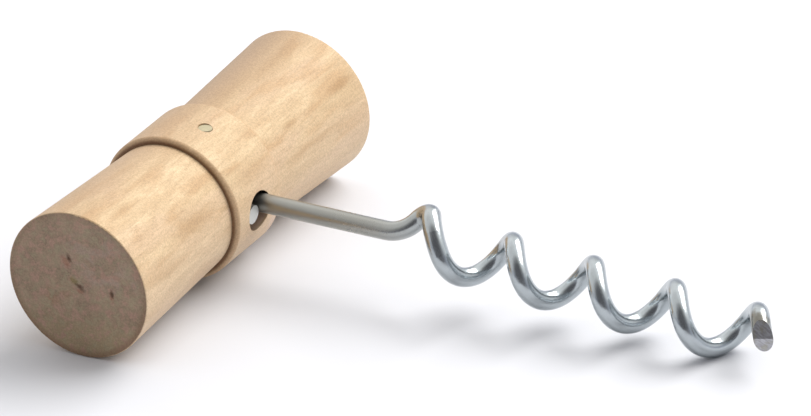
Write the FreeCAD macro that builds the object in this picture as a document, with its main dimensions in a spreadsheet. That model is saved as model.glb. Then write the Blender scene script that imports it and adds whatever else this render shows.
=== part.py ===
import FreeCAD, Part
import math
import os

import Sketcher

# A plain corkscrew: a turned wooden handle, one steel wire that is its shank and its open coil,
# and a steel pin that holds the wire's eye inside the handle. It lies as it comes to rest, on the
# handle's two ends and on the coil. Millimetres. The handle's axis runs along Y, the wire leaves it
# towards +X, Z = 0 is the surface that it lies on, and the origin is under the middle of the whole.

SIZES = [
    ("handle_length", 72.0),
    ("end_diameter", 25.8),
    ("neck_diameter", 23.2),
    ("band_diameter", 25.6),
    ("band_width", 14.0),
    ("band_edge_radius", 0.8),
    ("end_edge_radius", 0.3),
    ("bore_drop_angle", 5.0),
    ("bore_clearance", 0.06),
    ("eye_room_clearance", 0.15),
    ("pin_diameter", 2.3),
    ("pin_offset", 2.4),
    ("pin_depth", 8.0),
    ("pin_clearance", 0.08),
    ("pin_end_gap", 0.1),
    ("pin_recess", 0.1),
    ("wire_diameter", 3.2),
    ("eye_clearance", 0.05),
    ("leg_gap", 0.06),
    ("leg_bend_radius", 4.0),
    ("leg_recess", 0.2),
    ("shank_length", 35.45),
    ("shank_drop_angle", 1.35),
    ("coil_diameter", 11.0),
    ("coil_pitch", 14.55),
    ("coil_lead", 8.54),
    ("coil_start_angle", 170.0),
    ("coil_turns", 3.875),
    ("coil_lean_angle", 2.0),
    ("crest_rise", 1.0),
    ("crest_back", 0.44),
    ("crest_slope_angle", 27.0),
    ("tip_run", 1.9),
    ("tip_waste", 3.5),
    ("tip_face_angle", 31.0),
    ("tip_face_turn_angle", 6.0),
    ("tip_end_angle", 48.0),
    ("tip_end_turn_angle", 2.0),
    ("stone_size", 10.0),
]

# Sizes that follow from the others. The handle is turned about its own axis until its bore points
# below level. The shank leaves the eye along a line of its own that rises from the bore's, and the
# bore is wide enough at its mouth for both legs.
DERIVED = [
    ("wire_radius", "wire_diameter / 2"),
    ("band_radius", "band_diameter / 2"),
    ("coil_radius", "coil_diameter / 2 - wire_radius"),
    ("leg_offset", "wire_radius + leg_gap / 2"),
    ("eye_radius", "pin_diameter / 2 + eye_clearance + wire_radius"),
    ("shank_rise", "abs(tan(bore_drop_angle - shank_drop_angle))"),
    ("mouth_rise", "(band_radius - pin_offset) * shank_rise"),
    ("bore_radius", "sqrt(leg_offset ^ 2 + mouth_rise ^ 2) + wire_radius + bore_clearance"),
    ("eye_room_radius", "eye_radius + wire_radius + eye_room_clearance"),
    ("eye_room_height", "2 * (wire_radius + eye_room_clearance + eye_room_radius * shank_rise)"),
    ("eye_back", "pin_offset - eye_room_radius"),
    ("pin_hole_radius", "pin_diameter / 2 + pin_clearance"),
    ("pin_bottom", "-pin_depth"),
]

doc = FreeCAD.newDocument("corkscrew")
sheet = doc.addObject("Spreadsheet::Sheet", "Sizes")
cells = [(alias, str(value)) for alias, value in SIZES]
cells += [(alias, f"={formula}") for alias, formula in DERIVED]
for row, (alias, content) in enumerate(cells, start=1):
    sheet.set(f"A{row}", alias)
    sheet.setAlias(f"B{row}", alias)
    sheet.set(f"B{row}", content)
doc.recompute()


def size(alias):
    return float(getattr(sheet, alias))


def angle(alias):
    return math.radians(size(alias))


X = FreeCAD.Vector(1, 0, 0)
Y = FreeCAD.Vector(0, 1, 0)
Z = FreeCAD.Vector(0, 0, 1)
REACH_FINENESS = 0.02
SAME_SIZE = 1e-6
QUARTER = 0.25

wire_radius = size("wire_radius")
band_radius = size("band_radius")
coil_radius = size("coil_radius")
leg_offset = size("leg_offset")
eye_radius = size("eye_radius")
lift = Z * (size("end_diameter") / 2)
bore_turn = FreeCAD.Rotation(Y, size("bore_drop_angle"))
along_bore = bore_turn.multVec(X)
along_pin = bore_turn.multVec(Z)
along_shank = FreeCAD.Rotation(Y, size("shank_drop_angle")).multVec(X)


def in_handle(along, across=0.0, up=0.0):
    return along_bore * along + Y * across + along_pin * up


def origin_plane(body, role):
    return [feature for feature in body.Origin.OriginFeatures if feature.Role == role][0]


def new_sketch(body, name, role):
    sketch = body.newObject("Sketcher::SketchObject", name)
    sketch.AttachmentSupport = [(origin_plane(body, role), "")]
    sketch.MapMode = "FlatFace"
    return sketch


def bind(sketch, constraint, name, expression):
    sketch.renameConstraint(sketch.addConstraint(constraint), name)
    sketch.setExpression(f"Constraints.{name}", expression)


def circle_sketch(body, name, role, radius_alias, along_alias=None):
    along = size(along_alias) if along_alias else 0
    radius = size(radius_alias)
    sketch = new_sketch(body, name, role)
    sketch.addGeometry(Part.Circle(FreeCAD.Vector(along, 0, 0), Z, radius), False)
    bind(sketch, Sketcher.Constraint("Radius", 0, radius), "radius", f"Sizes.{radius_alias}")
    if along_alias:
        sketch.addConstraint(Sketcher.Constraint("PointOnObject", 0, 3, -1))
        place = Sketcher.Constraint("DistanceX", -1, 1, 0, 3, along)
        bind(sketch, place, "along", f"Sizes.{along_alias}")
    else:
        sketch.addConstraint(Sketcher.Constraint("Coincident", 0, 3, -1, 1))
    return sketch


def pocket(body, name, sketch, reversed_way):
    before = body.Tip.Shape.Volume
    feature = body.newObject("PartDesign::Pocket", name)
    feature.Profile = sketch
    feature.Type = "ThroughAll"
    feature.Reversed = reversed_way
    body.Tip = feature
    doc.recompute()
    if feature.Shape.Volume >= before:
        raise RuntimeError(f"{name} cuts nothing")
    return feature


# Handle: one turned piece. Its profile is revolved about Y, which is the sketch's vertical axis.
def make_handle():
    body = doc.addObject("PartDesign::Body", "HandleBody")
    body.Label = "handle"
    profile = new_sketch(body, "HandleProfile", "XY_Plane")
    half = size("handle_length") / 2
    band_half = size("band_width") / 2
    end_radius = size("end_diameter") / 2
    neck_radius = size("neck_diameter") / 2
    corners = [
        (0, -half),
        (end_radius, -half),
        (neck_radius, -band_half),
        (band_radius, -band_half),
        (band_radius, band_half),
        (neck_radius, band_half),
        (end_radius, half),
        (0, half),
    ]
    points = [FreeCAD.Vector(x, y, 0) for x, y in corners]
    for start, end in zip(points, points[1:] + points[:1]):
        profile.addGeometry(Part.LineSegment(start, end), False)
    last = len(points) - 1
    for line in range(last):
        profile.addConstraint(Sketcher.Constraint("Coincident", line, 2, line + 1, 1))
    profile.addConstraint(Sketcher.Constraint("Coincident", last, 2, 0, 1))
    for line in (0, 2, 4, 6):
        profile.addConstraint(Sketcher.Constraint("Horizontal", line))
    for line in (3, 7):
        profile.addConstraint(Sketcher.Constraint("Vertical", line))
    profile.addConstraint(Sketcher.Constraint("PointOnObject", 0, 1, -2))
    across = [
        (0, "near_end", "end_diameter", end_radius),
        (1, "near_neck", "neck_diameter", neck_radius),
        (2, "band", "band_diameter", band_radius),
        (4, "far_neck", "neck_diameter", neck_radius),
        (5, "far_end", "end_diameter", end_radius),
    ]
    for line, name, alias, radius in across:
        constraint = Sketcher.Constraint("DistanceX", -1, 1, line, 2, radius)
        bind(profile, constraint, f"{name}_radius", f"Sizes.{alias} / 2")
    below = [(0, "near_end", "handle_length", half), (1, "near_step", "band_width", band_half)]
    for line, name, alias, distance in below:
        constraint = Sketcher.Constraint("DistanceY", line, 2, -1, 1, distance)
        bind(profile, constraint, f"{name}_place", f"Sizes.{alias} / 2")
    above = [(3, "far_step", "band_width", band_half), (5, "far_end", "handle_length", half)]
    for line, name, alias, distance in above:
        constraint = Sketcher.Constraint("DistanceY", -1, 1, line, 2, distance)
        bind(profile, constraint, f"{name}_place", f"Sizes.{alias} / 2")
    turned = body.newObject("PartDesign::Revolution", "Turned")
    turned.Profile = profile
    turned.ReferenceAxis = (profile, ["V_Axis"])
    turned.Angle = 360
    body.Tip = turned
    doc.recompute()

    round_rims(body, "BandRims", band_radius, "band_edge_radius")
    round_rims(body, "EndRims", end_radius, "end_edge_radius")

    bore = circle_sketch(body, "BoreCircle", "YZ_Plane", "bore_radius")
    bore.setExpression("AttachmentOffset.Base.z", "Sizes.eye_back")
    pocket(body, "Bore", bore, True)
    room = circle_sketch(body, "EyeRoomCircle", "XY_Plane", "eye_room_radius", "pin_offset")
    eye_room = body.newObject("PartDesign::Pocket", "EyeRoom")
    eye_room.Profile = room
    eye_room.Midplane = True
    eye_room.setExpression("Length", "Sizes.eye_room_height")
    body.Tip = eye_room
    doc.recompute()
    hole = circle_sketch(body, "PinHoleCircle", "XY_Plane", "pin_hole_radius", "pin_offset")
    hole.setExpression("AttachmentOffset.Base.z", "Sizes.pin_bottom")
    pocket(body, "PinHole", hole, True)
    body.Placement = FreeCAD.Placement(lift, bore_turn)
    return body


# Rims: the two circular edges of the given radius furthest out, rounded over.
def round_rims(body, name, radius, alias):
    base = body.Tip
    names = []
    for number, edge in enumerate(base.Shape.Edges, start=1):
        if isinstance(edge.Curve, Part.Circle) and abs(edge.Curve.Radius - radius) < SAME_SIZE:
            names.append(f"Edge{number}")
    rims = body.newObject("PartDesign::Fillet", name)
    rims.Base = (base, names)
    rims.setExpression("Radius", f"Sizes.{alias}")
    body.Tip = rims
    doc.recompute()


# Cross pin: stands in its blind hole just clear of the bottom, its flat end just below the band.
def make_cross_pin():
    pin = doc.addObject("Part::Cylinder", "CrossPin")
    pin.Label = "cross_pin"
    pin.setExpression("Radius", "Sizes.pin_diameter / 2")
    surface = "sqrt(Sizes.band_radius ^ 2 - Sizes.pin_offset ^ 2)"
    pin.setExpression("Height", f"{surface} + Sizes.pin_depth - Sizes.pin_end_gap - Sizes.pin_recess")
    foot = in_handle(size("pin_offset"), up=size("pin_end_gap") - size("pin_depth"))
    pin.Placement = FreeCAD.Placement(lift + foot, bore_turn)
    return pin


# Biarc: two arcs that meet smoothly between two points with given directions.
def biarc(start, start_way, end, end_way):
    chord = end - start
    turn = 2 * (1 - start_way.dot(end_way))
    lean = chord.dot(start_way + end_way)
    reach = (math.sqrt(lean**2 + turn * chord.dot(chord)) - lean) / turn
    middle = (start + end + (start_way - end_way) * reach) * 0.5
    corner_in = start + start_way * reach
    corner_out = end - end_way * reach
    return [corner_arc(start, corner_in, middle), corner_arc(middle, corner_out, end)]


# Corner arc: the arc that is tangent to both equal sides of a corner, from one's end to the other's.
def corner_arc(start, corner, end):
    to_start = (start - corner).normalize()
    to_end = (end - corner).normalize()
    half_corner = math.acos(to_start.dot(to_end)) / 2
    side = (start - corner).Length
    radius = side * math.tan(half_corner)
    centre_way = (to_start + to_end).normalize()
    centre = corner + centre_way * (side / math.cos(half_corner))
    return Part.Arc(start, centre - centre_way * radius, end).toShape()


# Eye: the cut leg, a bend, the eye round the pin, and where it ends to run into the shank.
def leg_and_eye():
    pin_at = size("pin_offset")
    bend_radius = size("leg_bend_radius")
    bend_out = leg_offset + bend_radius
    bend_at = pin_at + math.sqrt((eye_radius + bend_radius) ** 2 - bend_out**2)
    eye_share = eye_radius / (eye_radius + bend_radius)
    eye_end_at = pin_at + (bend_at - pin_at) * eye_share
    eye_end_out = bend_out * eye_share
    half_bend = math.atan2(bend_at - pin_at, bend_out) / 2
    bend_middle_at = bend_at - bend_radius * math.sin(half_bend)
    bend_middle_out = bend_out - bend_radius * math.cos(half_bend)
    mouth_at = math.sqrt(band_radius**2 - wire_radius**2)
    leg_end = in_handle(mouth_at - size("leg_recess"), -leg_offset)
    leg_start = in_handle(bend_at, -leg_offset)
    eye_start = in_handle(eye_end_at, -eye_end_out)
    eye_end = in_handle(eye_end_at, eye_end_out)
    eye_way = in_handle(bend_out, pin_at - bend_at).normalize()
    edges = [
        Part.makeLine(leg_end, leg_start),
        Part.Arc(leg_start, in_handle(bend_middle_at, -bend_middle_out), eye_start).toShape(),
        Part.Arc(eye_start, in_handle(pin_at - eye_radius), eye_end).toShape(),
    ]
    return edges, eye_end, eye_way, bend_at


# Coil axis: it leaves the shank's end and drops until the lowest turn stands on the surface. A turn
# is counted from where the wire is level with the axis on the far side, a quarter turn before the top.
def coil_axis_turn(shank_end):
    end_turns = size("coil_start_angle") / 360 + size("coil_turns")
    lowest_turns = math.floor(end_turns + QUARTER) - QUARTER
    lowest_along = size("coil_lead") + size("coil_pitch") * (lowest_turns - QUARTER)
    room_below = (lift + shank_end).z - size("coil_diameter") / 2
    drop = math.degrees(math.asin(room_below / lowest_along))
    return FreeCAD.Rotation(Z, size("coil_lean_angle")) * FreeCAD.Rotation(Y, drop)


# Coil: the regular turns.
def coil_edge(shank_end, axis_turn):
    start_along = size("coil_lead") + size("coil_pitch") * (size("coil_start_angle") / 360 - QUARTER)
    lie_down = FreeCAD.Rotation(Y, Z, X, "XYZ")
    turn = axis_turn * lie_down * FreeCAD.Rotation(Z, size("coil_start_angle"))
    coil = Part.makeHelix(size("coil_pitch"), size("coil_pitch") * size("coil_turns"), coil_radius)
    coil.Placement = FreeCAD.Placement(shank_end + axis_turn.multVec(X) * start_along, turn)
    return coil.Edges[0]


# Lead-in: from the shank up over the crest of the first turn, which stands higher than the others,
# and down into the regular turns.
def lead_in(shank_end, axis_turn, coil):
    crest_along = size("coil_lead") - size("crest_back")
    crest_height = coil_radius + size("crest_rise")
    crest = shank_end + axis_turn.multVec(X * crest_along + Z * crest_height)
    crest_way = axis_turn.multVec(X * math.tan(angle("crest_slope_angle")) - Y).normalize()
    begin = coil.ParameterRange[0]
    up = biarc(shank_end, along_shank, crest, crest_way)
    down = biarc(crest, crest_way, coil.valueAt(begin), coil.tangentAt(begin))
    return up + down


# Centre line: from the cut leg round the eye, along the shank and the lead-in, through the coil.
def centre_line():
    edges, eye_end, eye_way, bend_at = leg_and_eye()
    beside_pin = in_handle(size("pin_offset"), leg_offset)
    shank_start = beside_pin + along_shank * (bend_at - size("pin_offset"))
    shank_end = beside_pin + along_shank * (size("shank_length") - size("pin_offset"))
    axis_turn = coil_axis_turn(shank_end)
    coil = coil_edge(shank_end, axis_turn)
    edges += biarc(eye_end, eye_way, shank_start, along_shank)
    edges.append(Part.makeLine(shank_start, shank_end))
    edges += lead_in(shank_end, axis_turn, coil)
    edges.append(coil)
    coil_end = coil.valueAt(coil.ParameterRange[1])
    tip_way = coil.tangentAt(coil.ParameterRange[1])
    edges.append(Part.makeLine(coil_end, coil_end + tip_way * (size("tip_run") + size("tip_waste"))))
    return edges, coil_end + tip_way * size("tip_run"), tip_way, axis_turn.multVec(X)


# Grinding stone: a block whose face takes off what lies outside one face of the tip. The face slopes
# to the wire and looks away from the coil's axis, turned a little towards the coil's end.
def make_stone(name, point, along_wire, along_axis, slope, turn):
    outward = along_wire.cross(along_axis).normalize()
    endward = outward.cross(along_wire)
    level = outward * math.cos(angle(turn)) + endward * math.sin(angle(turn))
    face_way = along_wire * math.sin(angle(slope)) + level * math.cos(angle(slope))
    stone = doc.addObject("Part::Box", name)
    for side in ("Length", "Width", "Height"):
        stone.setExpression(side, "Sizes.stone_size")
    corner = FreeCAD.Vector(-size("stone_size") / 2, -size("stone_size") / 2, 0)
    face_turn = FreeCAD.Rotation(Z, face_way)
    stone.Placement = FreeCAD.Placement(point + face_turn.multVec(corner), face_turn)
    return stone


# Worm: a round wire swept along the centre line, its far end ground with two faces to a short point.
def make_worm():
    edges, tip, tip_way, along_axis = centre_line()
    path = doc.addObject("Part::Feature", "CentreLine")
    path.Shape = Part.Wire(edges)
    section = doc.addObject("Part::Circle", "WireSection")
    section.setExpression("Radius", "Sizes.wire_radius")
    section.Placement = FreeCAD.Placement(path.Shape.Vertexes[0].Point, FreeCAD.Rotation(Z, -along_bore))
    wire = doc.addObject("Part::Sweep", "Wire")
    wire.Sections = [section]
    wire.Spine = (path, [f"Edge{number}" for number in range(1, len(edges) + 1)])
    wire.Solid = True
    wire.Frenet = False
    doc.recompute()

    along = (tip, tip_way, along_axis)
    face_stone = make_stone("FaceStone", *along, "tip_face_angle", "tip_face_turn_angle")
    end_stone = make_stone("EndStone", *along, "tip_end_angle", "tip_end_turn_angle")
    faced = doc.addObject("Part::Cut", "Faced")
    faced.Base = wire
    faced.Tool = face_stone
    worm = doc.addObject("Part::Cut", "Worm")
    worm.Label = "worm"
    worm.Base = faced
    worm.Tool = end_stone
    worm.Placement = FreeCAD.Placement(lift, FreeCAD.Rotation())
    return worm


# Place: the origin is under the middle of the whole, on the surface that it lies on. The reach is
# read from a fine mesh, because a box of the ground point's own surfaces would be too long.
def place_on_surface(pieces):
    points = [point for piece in pieces for point in piece.Shape.tessellate(REACH_FINENESS)[0]]
    middle = (min(point.x for point in points) + max(point.x for point in points)) / 2
    lowest = min(point.z for point in points)
    move = FreeCAD.Placement(FreeCAD.Vector(-middle, 0, -lowest), FreeCAD.Rotation())
    for piece in pieces:
        piece.Placement = move * piece.Placement


pieces = [make_handle(), make_worm(), make_cross_pin()]
doc.recompute()
place_on_surface(pieces)
doc.recompute()
for feature in doc.Objects:
    if "Invalid" in feature.State or "Error" in feature.State:
        raise RuntimeError(f"{feature.Label} failed: {feature.State}")
for piece in pieces:
    if piece.Shape.isNull() or not piece.Shape.isValid() or len(piece.Shape.Solids) != 1:
        raise RuntimeError(f"{piece.Label} isn't one valid solid")

os.makedirs("parts", exist_ok=True)
for piece in pieces:
    piece.Shape.exportStep(f"parts/{piece.Label}.step")
    print(piece.Label, round(piece.Shape.Volume, 2), "mm3")
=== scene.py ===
import math

import bpy
from mathutils import Matrix, Vector


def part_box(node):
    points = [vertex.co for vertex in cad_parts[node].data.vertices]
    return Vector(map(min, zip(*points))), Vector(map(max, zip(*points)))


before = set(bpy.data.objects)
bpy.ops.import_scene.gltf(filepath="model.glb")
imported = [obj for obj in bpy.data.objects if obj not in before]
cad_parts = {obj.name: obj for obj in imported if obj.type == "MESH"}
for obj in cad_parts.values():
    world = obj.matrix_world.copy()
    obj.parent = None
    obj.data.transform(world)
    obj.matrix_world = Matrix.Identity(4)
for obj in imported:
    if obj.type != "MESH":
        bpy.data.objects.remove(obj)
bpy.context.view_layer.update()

# A millimetre, in the frame's metres.
MM = 0.001

# Handle's middle in the frame, whose own origin is under the middle of the whole part.
handle_low, handle_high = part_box("handle")
HANDLE_MIDDLE = (handle_low + handle_high) / 2

# Camera, as fitted to the shapes in the photograph. Its place is in millimetres from the point of
# the floor under the handle's middle.
PHOTO_WIDTH = 811
FOCAL_PIXELS = 8890.7
SENSOR_WIDTH = 36.0
CAMERA_PLACE = (706.4, -1089.3, 661.8)
CAMERA_RIGHT = (0.8679, 0.4926, -0.0643)
CAMERA_AHEAD = (-0.4657, 0.7617, -0.4504)
CLIP_NEAR = 0.05
CLIP_FAR = 20


def link_to_scene(thing):
    bpy.context.scene.collection.objects.link(thing)


def make_camera():
    right = Vector(CAMERA_RIGHT)
    ahead = Vector(CAMERA_AHEAD).normalized()
    right = (right - ahead * right.dot(ahead)).normalized()
    up = right.cross(ahead)
    turn = Matrix((right, up, -ahead)).transposed()
    x, y, z = CAMERA_PLACE
    place = Vector((x * MM + HANDLE_MIDDLE.x, y * MM, z * MM))

    data = bpy.data.cameras.new("camera")
    data.sensor_width = SENSOR_WIDTH
    data.sensor_fit = "HORIZONTAL"
    data.lens = FOCAL_PIXELS * SENSOR_WIDTH / PHOTO_WIDTH
    data.clip_start = CLIP_NEAR
    data.clip_end = CLIP_FAR
    camera = bpy.data.objects.new("camera", data)
    camera.matrix_world = Matrix.Translation(place) @ turn.to_4x4()
    link_to_scene(camera)
    bpy.context.scene.camera = camera


# Node trees. In all that follows, a value is a number, a colour, a vector or the output of a node. A
# surface's colour gives the shares of light that it sends back. A ramp is the value from which and the
# value up to which a look changes, and then what it gives at both, where that isn't 0 and 1.

# How far a noise, from its lowest to its highest, moves the edge of a spot, in sizes of the spot, and
# the noise's value at which the edge stays where it is.
NOISE_REACH = 1.6
NOISE_MIDDLE = 0.5


class Tree:
    def __init__(self, owner):
        owner.use_nodes = True
        self.nodes = owner.node_tree.nodes
        self.links = owner.node_tree.links
        self.nodes.clear()

    # Put: a value into a socket, by a link where it is the output of a node.
    def put(self, socket, value):
        if isinstance(value, bpy.types.NodeSocket):
            self.links.new(value, socket)
        elif socket.type == "RGBA":
            socket.default_value = (*value, 1)
        else:
            socket.default_value = value

    # Add: a node with its settings and inputs, in whose names an underscore stands for a space.
    def add(self, kind, settings=None, **inputs):
        node = self.nodes.new(kind)
        for name, value in (settings or {}).items():
            setattr(node, name, value)
        for name, value in inputs.items():
            self.put(node.inputs[name.replace("_", " ")], value)
        return node

    def finish(self, shader, **inputs):
        shaded = self.add(shader, **inputs).outputs[0]
        self.add("ShaderNodeOutputMaterial", Surface=shaded)

    def compute(self, operation, *values):
        node = self.add("ShaderNodeMath", {"operation": operation})
        for socket, value in zip(node.inputs, values):
            self.put(socket, value)
        return node.outputs[0]

    # Mix: of the node's many sockets, only the share and those for colours are used.
    def mix(self, share, first, second):
        node = self.add("ShaderNodeMix", {"data_type": "RGBA"})
        colors = [socket for socket in node.inputs if socket.type == "RGBA"]
        for socket, value in zip((node.inputs[0], *colors), (share, first, second)):
            self.put(socket, value)
        return next(socket for socket in node.outputs if socket.type == "RGBA")

    # Paint: a colour with layers over it, each of them a share and a colour.
    def paint(self, color, *layers):
        for share, layer in layers:
            color = self.mix(share, color, layer)
        return color

    def ramp(self, value, ramp):
        low, high, *shares = ramp
        node = self.add("ShaderNodeMapRange", {"interpolation_type": "SMOOTHSTEP"})
        for socket, number in zip(node.inputs, (value, low, high, *(shares or (0, 1)))):
            self.put(socket, number)
        return node.outputs[0]

    # Noise: stretch gives its counts in a millimetre along X, Y and Z, and shift takes it from
    # another place of the same noise.
    def noise(self, place, stretch, shift=None, detail=3, roughness=0.5, distortion=0):
        if shift:
            place = self.local(place, shift)
        place = self.add("ShaderNodeMapping", Vector=place, Scale=stretch).outputs[0]
        settings = {"Scale": 1, "Detail": detail, "Roughness": roughness, "Distortion": distortion}
        return self.add("ShaderNodeTexNoise", Vector=place, **settings).outputs[0]

    # Local: a place as seen from a centre, turned by angles in degrees, each way in its own size.
    def local(self, place, center=(0, 0, 0), turn=(0, 0, 0), size=(1, 1, 1)):
        turn = [math.radians(angle) for angle in turn]
        settings = {"Location": center, "Rotation": turn, "Scale": size}
        node = self.add("ShaderNodeMapping", {"vector_type": "TEXTURE"}, Vector=place, **settings)
        return node.outputs[0]

    def length(self, vector):
        node = self.add("ShaderNodeVectorMath", {"operation": "LENGTH"}, Vector=vector)
        return node.outputs["Value"]

    def axes(self, vector):
        return self.add("ShaderNodeSeparateXYZ", Vector=vector).outputs

    # Spot: 1 in an oval's middle and 0 well outside it. A noise makes its edge uneven, and soft is half
    # the width of that edge, in sizes of the spot.
    def spot(self, place, noise, center, size, turn=(0, 0, 0), soft=0.5):
        uneven = self.times(self.compute("SUBTRACT", noise, NOISE_MIDDLE), NOISE_REACH)
        away = self.compute("ADD", self.length(self.local(place, center, turn, size)), uneven)
        return self.ramp(away, (1 - soft, 1 + soft, 1, 0))

    def times(self, *shares):
        product = shares[0]
        for share in shares[1:]:
            product = self.compute("MULTIPLY", product, share)
        return product

    def most(self, shares):
        largest = shares[0]
        for share in shares[1:]:
            largest = self.compute("MAXIMUM", largest, share)
        return largest


def new_material(name):
    material = bpy.data.materials.new(name)
    return material, Tree(material)


# Surface of a node: its place in millimetres from the handle's middle, and its normal. X runs towards
# the worm's tip, Y along the handle to its far end, and Z up.
def surface(tree, node):
    coordinates = tree.add("ShaderNodeTexCoord")
    own_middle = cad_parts[node].matrix_world.inverted() @ HANDLE_MIDDLE
    place = tree.local(coordinates.outputs["Object"], own_middle, size=(MM, MM, MM))
    return place, coordinates.outputs["Normal"]


# Half size, in millimetres along the handle, of what looks the same all along it.
ENDLESS = 360


# Distance of a place from the handle's middle line.
def line_distance(tree, place):
    return tree.length(tree.local(place, size=(1, ENDLESS, 1)))


# The handle's sides: layers of colour, one over the other, each a pattern, its ramp and its colour.
WOOD_PALE = (0.765, 0.575, 0.35)
WOOD_TAN = (0.60, 0.425, 0.24)
WOOD_PINK = (0.64, 0.45, 0.295)
WOOD_ORANGE = (0.56, 0.36, 0.185)
WOOD_PORE = (0.46, 0.30, 0.16)
BLOTCHES = {"stretch": (0.50, 0.075, 0.50), "detail": 4, "roughness": 0.6, "distortion": 0.3}
MOTTLE = {"stretch": (1.3, 0.45, 1.3), "roughness": 0.6}
DRIFT = {"stretch": (0.16, 0.05, 0.16), "detail": 2, "distortion": 0.4}
WARMTH = {"stretch": (0.34, 0.07, 0.34), "shift": (31, 7, 13), "distortion": 0.3}
FIBRES = {"stretch": (2.6, 0.28, 2.6), "roughness": 0.6}
SIDE_LAYERS = (
    (BLOTCHES, (0.30, 0.70), WOOD_TAN),
    (MOTTLE, (0.35, 0.65, 0, 0.5), WOOD_TAN),
    (DRIFT, (0.42, 0.66, 0, 0.5), WOOD_PINK),
    (WARMTH, (0.48, 0.70, 0, 0.8), WOOD_ORANGE),
)
PORE_RAMP = (0.5, 0.75, 0, 0.5)

# Stains on the handle's sides: place along it, angle round it from the top (0 is up and 90 is the
# worm's side), half length, half width and strength. They share one distance from the handle's middle
# line, one half depth and one softness.
STAIN_BROWN = (0.44, 0.265, 0.12)
SIDE_STAINS = (
    (-17.5, 68, 5.5, 1.3, 0.75),
    (31.0, 55, 2.8, 0.8, 0.80),
    (16.0, 55, 1.8, 0.5, 0.60),
    (19.5, 79, 9.5, 0.5, 0.50),
    (15.0, -6, 9.0, 2.0, 0.45),
    (25.0, 6, 8.0, 1.2, 0.45),
    (-29.0, 25, 3.2, 0.7, 0.60),
    (1.0, 64, 4.5, 1.2, 0.45),
    (-27.0, 84, 5.0, 0.7, 0.50),
)
STAIN_DISTANCE = 12.3
STAIN_DEPTH = 6
STAIN_SOFTNESS = 0.8
RIGHT_ANGLE = 90


def side_stain(tree, place, edge, along, angle, long, wide, strength):
    turn = math.radians(angle)
    center = (STAIN_DISTANCE * math.sin(turn), along, STAIN_DISTANCE * math.cos(turn))
    size = (STAIN_DEPTH, long, wide)
    spot = tree.spot(place, edge, center, size, (0, angle - RIGHT_ANGLE, 0), STAIN_SOFTNESS)
    return tree.times(spot, strength)


def side_color(tree, place):
    color = WOOD_PALE
    for pattern, ramp, layer in SIDE_LAYERS:
        color = tree.mix(tree.ramp(tree.noise(place, **pattern), ramp), color, layer)
    edge = tree.noise(place, **MOTTLE)
    stains = tree.most([side_stain(tree, place, edge, *stain) for stain in SIDE_STAINS])
    pores = tree.ramp(tree.noise(place, **FIBRES), PORE_RAMP)
    return tree.paint(color, (stains, STAIN_BROWN), (pores, WOOD_PORE))


# The sides' painted light and shade: painted light below, painted shade on top and behind, most so at
# the far end, and a pink painted glow beside the bore mouth.
BELOW_PAINTED_LIGHT = (0.80, 0.61, 0.43)
BELOW_BY_HEIGHT = (-12, 10, 0.7, 0)
TOP_PAINTED_SHADE = (0.46, 0.32, 0.205)
TOP_BY_X = (-5, 7, 0.7, 0)
TOP_BY_HEIGHT = (0, 8)
TOP_BY_LENGTH = (-10, 25, 0.95, 1.4)
PAINTED_GLOW_PINK = (0.74, 0.56, 0.46)
GLOW_OVAL = {"center": (11.5, 6.0, -5.8), "turn": (0, 25, 0), "size": (5, 1.8, 2.4)}
GLOW_EDGE = {"stretch": (0.8, 0.8, 0.8), "detail": 2}
GLOW_SHARE = 0.6


def paint_side_shading(tree, place, color):
    x, along, height = tree.axes(place)
    # Painted shade on top and behind, and painted light below.
    top = tree.times(tree.ramp(x, TOP_BY_X), tree.ramp(height, TOP_BY_HEIGHT))
    top = tree.times(top, tree.ramp(along, TOP_BY_LENGTH))
    # A pink painted glow beside the bore mouth.
    glow = tree.spot(place, tree.noise(place, **GLOW_EDGE), **GLOW_OVAL)
    return tree.paint(
        color,
        (tree.ramp(height, BELOW_BY_HEIGHT), BELOW_PAINTED_LIGHT),
        (top, TOP_PAINTED_SHADE),
        (tree.times(glow, GLOW_SHARE), PAINTED_GLOW_PINK),
    )


# The band's two shoulders: brown painted shade on their rounded rims, most so at the far one, and dark
# brown painted shade in the corner of the step. Facing is the normal's part along the handle: it is -1
# on what faces the near end's way and 1 on what faces the far end's way.
ROUND_PAINTED_SHADE = (0.50, 0.31, 0.165)
ROUND_BY_STEEPNESS = (0.08, 0.3)
ROUND_BY_FACING = (-0.05, 0.05, 0.45, 0.6)
CORNER_PAINTED_SHADE = (0.17, 0.085, 0.042)
CORNER_BY_STEEPNESS = (0.35, 0.8)
CORNER_BY_DISTANCE = (11.9, 12.5, 1, 0)
CORNER_SHARE = 0.85
BAND_BY_LENGTH = (8, 8.6, 1, 0)


def shoulder_color(tree, place, facing, color):
    steep = tree.compute("ABSOLUTE", facing)
    band = tree.ramp(tree.compute("ABSOLUTE", tree.axes(place)[1]), BAND_BY_LENGTH)
    # Painted shade on the rounded rims and in the corner of the step.
    rim = tree.times(tree.ramp(steep, ROUND_BY_STEEPNESS), band, tree.ramp(facing, ROUND_BY_FACING))
    corner = tree.ramp(line_distance(tree, place), CORNER_BY_DISTANCE)
    corner = tree.times(corner, tree.ramp(steep, CORNER_BY_STEEPNESS), band, CORNER_SHARE)
    return tree.paint(color, (rim, ROUND_PAINTED_SHADE), (corner, CORNER_PAINTED_SHADE))
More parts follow.
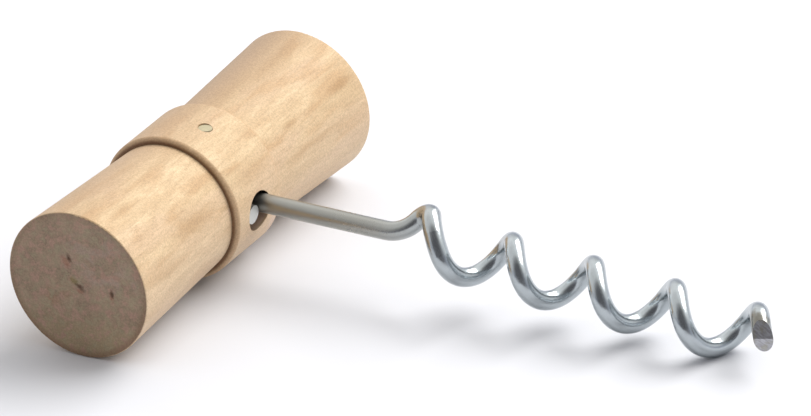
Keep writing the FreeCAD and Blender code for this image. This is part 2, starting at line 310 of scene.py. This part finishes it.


# The handle's ends: brown-grey end grain, mottled, with a darker rim that gets painted shade along its
# bottom, next to the floor. An oval on an end is given by its centre's X and Z, turn in degrees, half
# length and half width.
END_LIGHT = (0.39, 0.285, 0.19)
END_DARK = (0.30, 0.215, 0.143)
END_CLOUD = {"stretch": (0.33, 0.33, 0.33), "detail": 4, "roughness": 0.6, "distortion": 0.5}
END_CLOUD_RAMP = (0.32, 0.68)
END_PATCHES = {"stretch": (0.24, 0.24, 0.42), "shift": (17, 0, 5), "distortion": 0.8}
END_LILAC = (0.41, 0.30, 0.235)
LILAC_OVAL = (4.5, 4.5, 20, 6.5, 5.5)
LILAC_RAMP = (0.40, 0.62, 0, 0.75)
END_RED = (0.36, 0.215, 0.13)
RED_OVAL = (-3.8, -1.5, -50, 4.0, 2.0)
RED_RAMP = (0.45, 0.60, 0, 0.6)
END_OLIVE = (0.38, 0.29, 0.165)
OLIVE_BY_HEIGHT = (-9.5, -3.5, 0.6, 0)
END_HUES = {"stretch": (0.75, 0.75, 0.75), "shift": (5, 3, 9), "roughness": 0.65, "distortion": 0.4}
END_PINK = (0.44, 0.27, 0.20)
PINK_RAMP = (0.50, 0.64, 0, 0.85)
END_GREEN = (0.36, 0.30, 0.19)
GREEN_RAMP = (0.36, 0.48, 0.7, 0)
RIM_BROWN_AND_SHADE = (0.27, 0.165, 0.10)
RIM_BY_DISTANCE = (11.3, 12.5)
RIM_BY_HEIGHT = (-4, 4, 0.75, 0.25)


def end_spot(tree, place, edge, oval, soft=0.5):
    x, z, turn, long, wide = oval
    return tree.spot(place, edge, (x, 0, z), (long, ENDLESS, wide), (0, turn, 0), soft)


def end_color(tree, place):
    height = tree.axes(place)[2]
    cloud = tree.noise(place, **END_CLOUD)
    patch = tree.noise(place, **END_PATCHES)
    hue = tree.noise(place, **END_HUES)
    rim = tree.ramp(line_distance(tree, place), RIM_BY_DISTANCE)
    return tree.paint(
        tree.mix(tree.ramp(cloud, END_CLOUD_RAMP), END_DARK, END_LIGHT),
        (tree.times(end_spot(tree, place, cloud, LILAC_OVAL), tree.ramp(patch, LILAC_RAMP)), END_LILAC),
        (tree.times(end_spot(tree, place, cloud, RED_OVAL), tree.ramp(patch, RED_RAMP)), END_RED),
        (tree.ramp(height, OLIVE_BY_HEIGHT), END_OLIVE),
        (tree.ramp(hue, PINK_RAMP), END_PINK),
        (tree.ramp(hue, GREEN_RAMP), END_GREEN),
        # A darker rim, with painted shade most of all at its bottom.
        (tree.times(rim, tree.ramp(height, RIM_BY_HEIGHT)), RIM_BROWN_AND_SHADE),
    )


# The near end: three dark flecks, with red and olive stains beside them.
FLECK_BROWN = (0.12, 0.065, 0.038)
FLECKS = (
    (-1.20, 4.70, 62, 0.80, 0.33),
    (0.45, -0.15, 35, 0.85, 0.38),
    (6.42, -0.30, 84, 0.62, 0.30),
)
HALO_RED = (0.34, 0.17, 0.11)
RED_HALOS = (
    (-1.85, 3.95, 60, 1.0, 0.6),
    (6.30, -0.90, 84, 0.7, 0.4),
    (0.35, -0.90, 20, 0.6, 0.4),
)
HALO_OLIVE = (0.25, 0.19, 0.075)
OLIVE_HALOS = ((-0.65, 0.75, 25, 0.8, 0.5),)
HALO_SHARE = 0.75
FLECK_EDGE = {"stretch": (1.5, 1.5, 1.5), "detail": 2}
FLECK_SOFTNESS = 0.65


def near_end_color(tree, place, color):
    edge = tree.noise(place, **FLECK_EDGE)

    def marks(ovals):
        return tree.most([end_spot(tree, place, edge, oval, FLECK_SOFTNESS) for oval in ovals])

    return tree.paint(
        color,
        (tree.times(marks(RED_HALOS), HALO_SHARE), HALO_RED),
        (tree.times(marks(OLIVE_HALOS), HALO_SHARE), HALO_OLIVE),
        (marks(FLECKS), FLECK_BROWN),
    )


# The bore: painted shade, black above, and brown below, where light from its mouth reaches the wood.
BORE_PAINTED_SHADE = (0.030, 0.022, 0.014)
BORE_BROWN = (0.55, 0.38, 0.27)
SHADE_BY_HEIGHT = (-4, -1)
BORE_BY_DISTANCE = (12.35, 12.62, 1, 0)
BORE_BY_LENGTH = (5.5, 6, 1, 0)
BORE_BY_HEIGHT = (7, 9, 1, 0)


def bore_color(tree, place, color):
    _, along, height = tree.axes(place)
    inside = tree.ramp(line_distance(tree, place), BORE_BY_DISTANCE)
    inside = tree.times(inside, tree.ramp(tree.compute("ABSOLUTE", along), BORE_BY_LENGTH))
    inside = tree.times(inside, tree.ramp(height, BORE_BY_HEIGHT))
    # Painted shade: black on the bore's wall above, brown below.
    wall = tree.mix(tree.ramp(height, SHADE_BY_HEIGHT), BORE_BROWN, BORE_PAINTED_SHADE)
    return tree.mix(inside, color, wall)


# The whole handle: where its ends are, which of them is the near one, and fine dark specks.
END_BY_STEEPNESS = (0.6, 0.9)
END_BY_LENGTH = (30, 31)
NEAR_BY_FACING = (-0.95, -0.85, 1, 0)
SPECKS = {"stretch": (3.4, 3.4, 3.4), "detail": 2, "roughness": 0.75}
SPECK_BLACK = (0, 0, 0)
SPECK_RAMP = (0.3, 0.7, 0.24, 0)


def wood_material():
    material, tree = new_material("turned_wood")
    place, normal = surface(tree, "handle")
    facing = tree.axes(normal)[1]
    sides = paint_side_shading(tree, place, side_color(tree, place))
    sides = shoulder_color(tree, place, facing, sides)
    ends = end_color(tree, place)
    ends = tree.mix(tree.ramp(facing, NEAR_BY_FACING), ends, near_end_color(tree, place, ends))
    at_end = tree.ramp(tree.compute("ABSOLUTE", tree.axes(place)[1]), END_BY_LENGTH)
    is_end = tree.times(tree.ramp(tree.compute("ABSOLUTE", facing), END_BY_STEEPNESS), at_end)
    specks = tree.noise(place, **SPECKS)
    color = tree.paint(sides, (is_end, ends), (tree.ramp(specks, SPECK_RAMP), SPECK_BLACK))
    color = bore_color(tree, place, color)
    bump = tree.add("ShaderNodeBump", Height=specks, Strength=0.12, Distance=0.08 * MM).outputs[0]
    gloss = {"Roughness": 0.58, "Specular IOR Level": 0.3}
    tree.finish("ShaderNodeBsdfPrincipled", Base_Color=color, Normal=bump, **gloss)
    return material


# The wire: plated steel, duller on its shank, with painted shade in the bore mouth, bright on the end of
# its cut leg, and with a painted dark brown reflection behind its tip.
PLATED_STEEL = (0.44, 0.48, 0.50)
CLOUDED_STEEL = (0.39, 0.415, 0.43)
WIRE_CLOUD = {"stretch": (0.9, 0.9, 0.9)}
WIRE_CLOUD_RAMP = (0.35, 0.7, 0, 0.25)
SPECKED_STEEL = (0.25, 0.24, 0.24)
WIRE_SPECKS = {"stretch": (5, 5, 5), "detail": 2}
WIRE_SPECK_RAMP = (0.6, 0.75, 0, 0.25)
SHANK_STEEL = (0.35, 0.35, 0.325)
SHANK_BY_X = (30, 50, 1, 0)
PAINTED_SHADE_STEEL = (0.16, 0.15, 0.13)
IN_BORE_BY_DISTANCE = (11.8, 14.5, 1, 0)
IN_BORE_SHADE_SHARE = 0.8
CUT_STEEL = (0.62, 0.63, 0.61)
CUT_BY_NORMAL = (0.97, 0.99)
CUT_BY_DISTANCE = (13.5, 14, 1, 0)
REFLECTION_BROWN_STEEL = (0.17, 0.155, 0.125)
REFLECTION_SPOT = {"center": (102.8, 1.2, -4.2), "size": (2.4, 2.4, 2.4), "soft": 0.4}
REFLECTION_SHARE = 0.85
WIRE_ROUGHNESS = (0.3, 0.7, 0.19, 0.26)
SHANK_ROUGHNESS = (12, 45, 0.12, 0)
IN_BORE_ROUGHNESS = 0.25


def wire_material():
    material, tree = new_material("plated_wire")
    place, normal = surface(tree, "worm")
    x = tree.axes(place)[0]
    distance = line_distance(tree, place)
    cloud = tree.noise(place, **WIRE_CLOUD)
    specks = tree.noise(place, **WIRE_SPECKS)
    # Painted shade on the steel in the bore, which is also rougher there.
    in_bore = tree.ramp(distance, IN_BORE_BY_DISTANCE)
    cut = tree.times(tree.ramp(tree.axes(normal)[0], CUT_BY_NORMAL), tree.ramp(distance, CUT_BY_DISTANCE))
    color = tree.paint(
        PLATED_STEEL,
        (tree.ramp(cloud, WIRE_CLOUD_RAMP), CLOUDED_STEEL),
        (tree.ramp(specks, WIRE_SPECK_RAMP), SPECKED_STEEL),
        (tree.ramp(x, SHANK_BY_X), SHANK_STEEL),
        (tree.times(in_bore, IN_BORE_SHADE_SHARE), PAINTED_SHADE_STEEL),
        (cut, CUT_STEEL),
        # A painted dark brown reflection behind the tip.
        (tree.times(tree.spot(place, cloud, **REFLECTION_SPOT), REFLECTION_SHARE), REFLECTION_BROWN_STEEL),
    )
    rough = tree.compute("ADD", tree.ramp(cloud, WIRE_ROUGHNESS), tree.times(in_bore, IN_BORE_ROUGHNESS))
    rough = tree.compute("ADD", rough, tree.ramp(x, SHANK_ROUGHNESS))
    tree.finish("ShaderNodeBsdfPrincipled", Base_Color=color, Roughness=rough, Metallic=1)
    return material


# The tip's ground faces: bare steel, scratched along the stroke of the stone.
GROUND_DARK = (0.36, 0.35, 0.37)
GROUND_LIGHT = (0.52, 0.53, 0.56)
STROKES = {"stretch": (1.2, 1.2, 6)}
STROKE_TURN = (0, 35, 0)
STROKE_RAMP = (0.35, 0.65)
GROUND_STAIN = (0.36, 0.34, 0.25)
GROUND_CLOUD = {"stretch": (1.1, 1.1, 1.1), "detail": 2}
GROUND_STAIN_RAMP = (0.5, 0.65, 0, 0.5)


def ground_material():
    material, tree = new_material("ground_steel")
    place, _ = surface(tree, "worm")
    strokes = tree.noise(tree.local(place, turn=STROKE_TURN), **STROKES)
    color = tree.mix(tree.ramp(strokes, STROKE_RAMP), GROUND_DARK, GROUND_LIGHT)
    cloud = tree.noise(place, **GROUND_CLOUD)
    color = tree.mix(tree.ramp(cloud, GROUND_STAIN_RAMP), color, GROUND_STAIN)
    bump = tree.add("ShaderNodeBump", Height=strokes, Strength=0.35, Distance=0.06 * MM).outputs[0]
    gloss = {"Roughness": 0.42, "Metallic": 1}
    tree.finish("ShaderNodeBsdfPrincipled", Base_Color=color, Normal=bump, **gloss)
    return material


# The pin's end: dull steel, slightly yellow.
PIN_DARK = (0.41, 0.365, 0.24)
PIN_LIGHT = (0.4715, 0.41975, 0.276)
PIN_CLOUD = {"stretch": (1.4, 1.4, 1.4)}
PIN_RAMP = (0.35, 0.65)
PIN_ROUGHNESS = (0.3, 0.7, 0.55, 0.7)


def pin_material():
    material, tree = new_material("pin_steel")
    place, _ = surface(tree, "cross_pin")
    cloud = tree.noise(place, **PIN_CLOUD)
    color = tree.mix(tree.ramp(cloud, PIN_RAMP), PIN_DARK, PIN_LIGHT)
    rough = tree.ramp(cloud, PIN_ROUGHNESS)
    tree.finish("ShaderNodeBsdfPrincipled", Base_Color=color, Roughness=rough, Metallic=0.35)
    return material


def dress(node, *materials):
    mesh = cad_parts[node].data
    mesh.materials.clear()
    for material in materials:
        mesh.materials.append(material)


# Ground faces: how far back from the worm's end they reach, the least area of one, the decimals to
# which the normals of its polygons agree, and the place of their material on the worm.
GROUND_REACH = 8 * MM
LEAST_GROUND_AREA = 0.6 * MM * MM
NORMAL_DECIMALS = 3
GROUND_SLOT = 1


# Flat faces: the only groups of polygons at the worm's end that have one normal and a large area.
def flat_faces(mesh, from_x):
    groups = {}
    for polygon in mesh.polygons:
        if polygon.center.x > from_x:
            normal = tuple(round(part, NORMAL_DECIMALS) for part in polygon.normal)
            groups.setdefault(normal, []).append(polygon)
    return [group for group in groups.values() if sum(face.area for face in group) > LEAST_GROUND_AREA]


def grind_tip():
    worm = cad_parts["worm"]
    tip = worm.matrix_world.inverted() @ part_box("worm")[1]
    for group in flat_faces(worm.data, tip.x - GROUND_REACH):
        for polygon in group:
            polygon.material_index = GROUND_SLOT


# The floor: a plain square, with half its side in metres.
FLOOR_GREY = (0.68, 0.69, 0.72)
FLOOR_REACH = 6


def make_floor():
    reach = FLOOR_REACH
    corners = [(-reach, -reach, 0), (reach, -reach, 0), (reach, reach, 0), (-reach, reach, 0)]
    mesh = bpy.data.meshes.new("floor")
    mesh.from_pydata(corners, [], [(0, 1, 2, 3)])
    material, tree = new_material("floor")
    tree.finish("ShaderNodeBsdfDiffuse", Color=FLOOR_GREY)
    mesh.materials.append(material)
    floor = bpy.data.objects.new("floor", mesh)
    link_to_scene(floor)


# Light: one window and a grey room, whose low and high parts and brighter or darker patches have
# their own colours. Azimuths are in degrees round Z from +X and heights in degrees from the floor. A
# patch is given by the azimuth and height of its middle, its ramp and its colour. Its ramp goes by the
# cosine of the angle from its middle, and the room's own by the sine of the height. The window's
# distance, width and height are in metres and its power is in watts.
WINDOW_WAY = (58, 47)
WINDOW_DISTANCE = 1.2
WINDOW_SIZE = (1.25, 0.66)
WINDOW_POWER = 17.0
WINDOW_COLOR = (1.0, 0.985, 0.975)
ROOM_LOW = (0.57, 0.60, 0.69)
ROOM_HIGH = (0.51, 0.51, 0.47)
ROOM_BY_HEIGHT = (0.05, 0.8)
ROOM_PATCHES = (
    (176, 50, (0.40, 0.95), (1.4, 1.38, 1.36)),
    (52, 47, (0.55, 0.97), (1.25, 1.24, 1.23)),
    (-140, 50, (0.60, 0.98), (1.0, 0.99, 0.98)),
    (-65, 25, (0.45, 0.95), (0.17, 0.165, 0.175)),
)
ROOM_STRENGTH = 0.99


def direction(azimuth, height):
    turn = math.radians(azimuth)
    rise = math.radians(height)
    return Vector((math.cos(rise) * math.cos(turn), math.cos(rise) * math.sin(turn), math.sin(rise)))


def make_window():
    data = bpy.data.lights.new("window", "AREA")
    data.shape = "RECTANGLE"
    data.size, data.size_y = WINDOW_SIZE
    data.energy = WINDOW_POWER
    data.color = WINDOW_COLOR
    away = direction(*WINDOW_WAY)
    lamp = bpy.data.objects.new("window", data)
    lamp.location = away * WINDOW_DISTANCE
    lamp.rotation_euler = away.to_track_quat("Z", "Y").to_euler()
    link_to_scene(lamp)


def make_room():
    world = bpy.data.worlds.new("room")
    bpy.context.scene.world = world
    tree = Tree(world)
    way = tree.add("ShaderNodeTexCoord").outputs["Generated"]
    color = tree.mix(tree.ramp(tree.axes(way)[2], ROOM_BY_HEIGHT), ROOM_LOW, ROOM_HIGH)
    for azimuth, height, ramp, patch in ROOM_PATCHES:
        cosine = tree.add("ShaderNodeVectorMath", {"operation": "DOT_PRODUCT"})
        tree.put(cosine.inputs[0], way)
        tree.put(cosine.inputs[1], direction(azimuth, height))
        color = tree.mix(tree.ramp(cosine.outputs["Value"], ramp), color, patch)
    light = tree.add("ShaderNodeBackground", Color=color, Strength=ROOM_STRENGTH)
    tree.add("ShaderNodeOutputWorld", Surface=light.outputs[0])


bpy.context.scene.view_settings.view_transform = "Standard"
make_camera()
make_floor()
make_room()
make_window()
dress("handle", wood_material())
dress("worm", wire_material(), ground_material())
grind_tip()
dress("cross_pin", pin_material())
